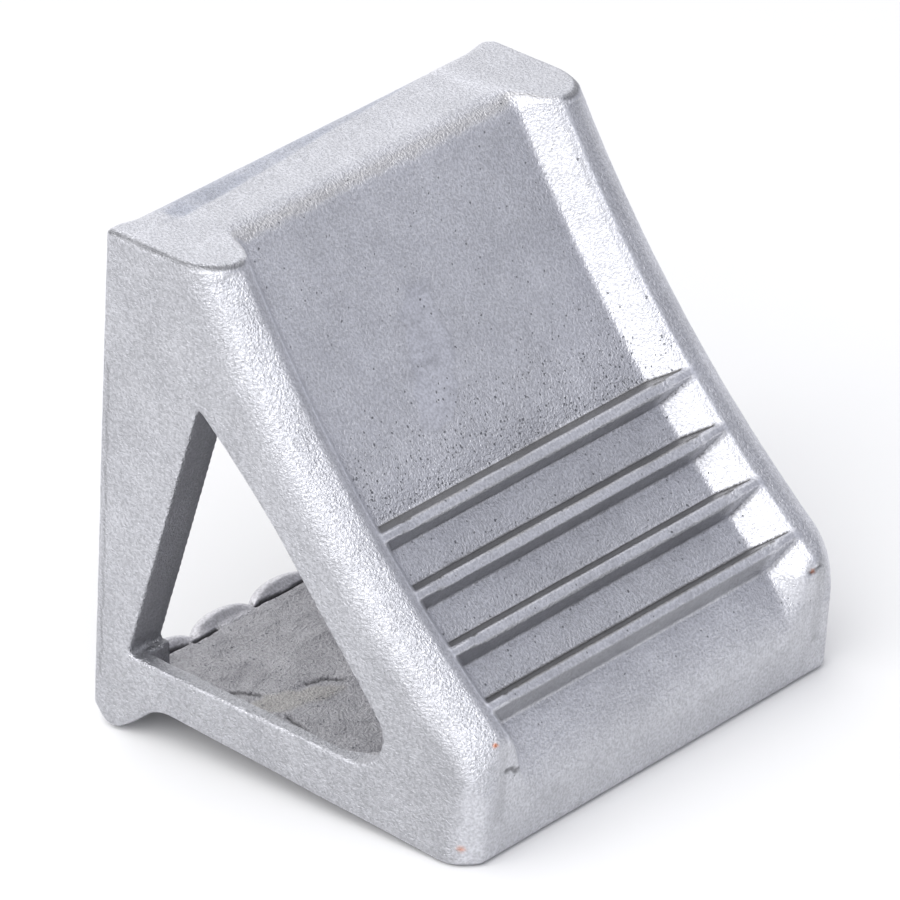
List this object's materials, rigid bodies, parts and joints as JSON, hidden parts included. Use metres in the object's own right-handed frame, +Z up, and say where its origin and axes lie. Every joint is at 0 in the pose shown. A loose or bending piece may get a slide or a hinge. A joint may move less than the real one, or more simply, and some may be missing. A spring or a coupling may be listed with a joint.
{
  "type": "wheel chock",
  "caption": "Galvanised cast-iron wheel chock: a curved ribbed tread between raised side rails, open sides and back, a flat base and a row of rear claws.",
  "frame": {"origin": "on the floor, at the middle of the footprint", "axes": "+Z up as it stands in use, +X towards the toe that goes under the tyre, Y across the width with the chock symmetric about Y = 0"},
  "size_m": [0.174, 0.203, 0.193],
  "materials": {
    "galvanised_iron": "hot-dip galvanised sand casting",
    "rough_cast_zinc": "rough galvanised sand casting with flash"
  },
  "bodies": {
    "root": {"crown": "galvanised_iron", "tread_plate": "galvanised_iron", "tread_rib_1": "galvanised_iron", "tread_rib_2": "galvanised_iron", "tread_rib_3": "galvanised_iron", "tread_rib_4": "galvanised_iron", "toe": "galvanised_iron", "base_plate": "rough_cast_zinc", "rear_tooth_1": "rough_cast_zinc", "rear_tooth_2": "rough_cast_zinc", "rear_tooth_3": "rough_cast_zinc", "rear_tooth_4": "rough_cast_zinc", "rear_tooth_5": "rough_cast_zinc", "rear_tooth_6": "rough_cast_zinc", "left_slope_rail": "galvanised_iron", "left_rear_leg": "galvanised_iron", "left_base_rail": "galvanised_iron", "right_slope_rail": "galvanised_iron", "right_rear_leg": "galvanised_iron", "right_base_rail": "galvanised_iron"}
  },
  "joints": []
}
